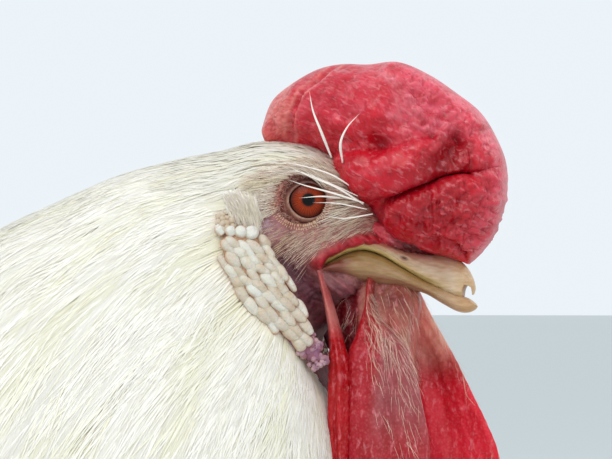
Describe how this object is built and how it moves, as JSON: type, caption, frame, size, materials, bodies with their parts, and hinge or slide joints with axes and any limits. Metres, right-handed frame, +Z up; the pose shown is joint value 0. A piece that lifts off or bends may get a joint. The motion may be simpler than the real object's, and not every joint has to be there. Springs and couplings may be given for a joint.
{
  "type": "rooster",
  "caption": "White rooster standing at rest, head in profile, with a large folded red comb, hanging wattles, white ear lobes, an upright sickle tail and yellow legs.",
  "frame": {"origin": "middle of the bird's length and width, on the floor it stands on", "axes": "+X forward along the bill, +Z up, +Y towards the bird's left side"},
  "size_m": [0.49, 0.1608, 0.4412],
  "materials": {
    "plumage": "soft white feathers with a silky sheen and faint cream lines between the barbs",
    "face_skin": "thin pinkish skin with fine wrinkles and cream bristles",
    "comb_skin": "moist crimson flesh with fine pebbling and pale lines along the folds",
    "lobe_skin": "enamel-white beaded skin with warm tints in the gaps",
    "eye": "clear wet ball over an orange-brown iris with a round black pupil",
    "horn": "pale horn, smooth and slightly worn, with fine growth lines",
    "leg_scale": "yellow overlapping horny scales, satin"
  },
  "bodies": {
    "root": {"bill_lower": "horn", "bill_upper": "horn", "claw_hind_left": "horn", "claw_hind_right": "horn", "claw_inner_left": "horn", "claw_inner_right": "horn", "claw_middle_left": "horn", "claw_middle_right": "horn", "claw_outer_left": "horn", "claw_outer_right": "horn", "comb": "comb_skin", "eye_left": "eye", "eye_right": "eye", "foot_left": "leg_scale", "foot_right": "leg_scale", "head": "face_skin", "lobe_left": "lobe_skin", "lobe_right": "lobe_skin", "neck": "plumage", "shank_left": "leg_scale", "shank_right": "leg_scale", "sickle_fourth_left": "plumage", "sickle_fourth_right": "plumage", "sickle_left": "plumage", "sickle_right": "plumage", "sickle_second_left": "plumage", "sickle_second_right": "plumage", "sickle_third_left": "plumage", "sickle_third_right": "plumage", "spur_left": "horn", "spur_right": "horn", "tail_fan_left": "plumage", "tail_fan_right": "plumage", "thigh_left": "plumage", "thigh_right": "plumage", "trunk": "plumage", "wattle_left": "comb_skin", "wattle_right": "comb_skin", "wing_left": "plumage", "wing_right": "plumage"}
  },
  "joints": []
}
